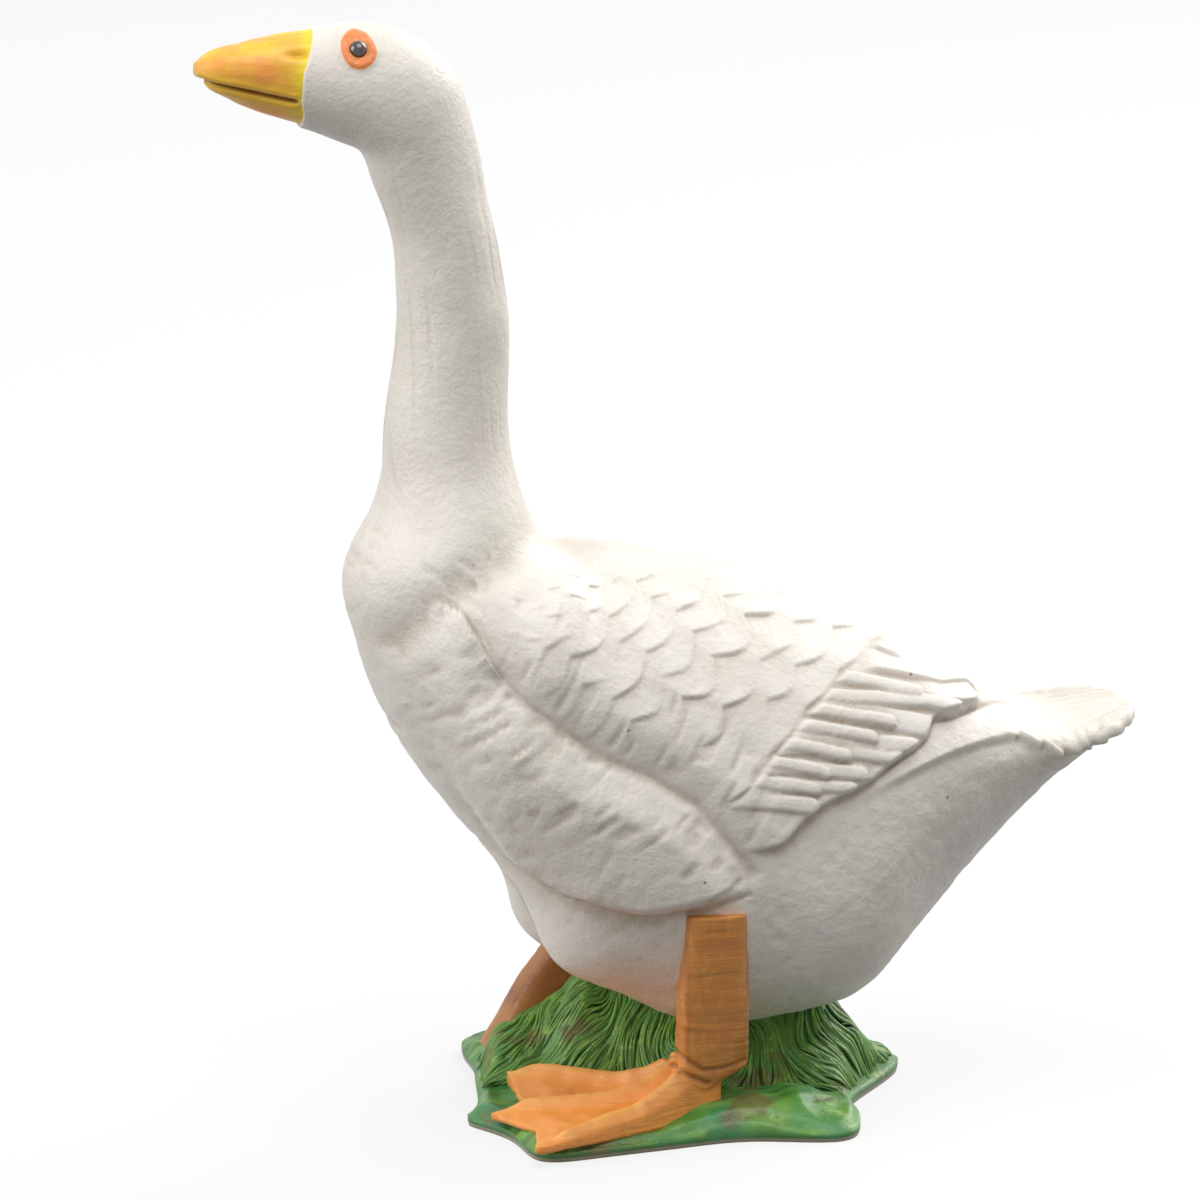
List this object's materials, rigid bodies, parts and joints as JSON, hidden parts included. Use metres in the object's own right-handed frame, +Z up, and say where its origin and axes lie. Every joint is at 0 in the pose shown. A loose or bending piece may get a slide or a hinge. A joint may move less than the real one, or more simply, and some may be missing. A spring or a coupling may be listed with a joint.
{
  "type": "goose figurine",
  "caption": "Small moulded goose standing upright on a tuft of grass, with webbed feet and carved feathers; an ornament or play figure",
  "frame": {"origin": "on the flat underside of the grass base, below the middle of the bird", "axes": "the goose looks along -X, its left side faces -Y, +Z is up"},
  "size_m": [0.06, 0.0294, 0.07],
  "materials": {
    "painted_plastic": "solid vinyl with matt hand-applied paint: off-white plumage, yellow-orange bill, ochre-orange legs, green grass base"
  },
  "bodies": {
    "root": {"goose_figurine": "painted_plastic"}
  },
  "joints": []
}
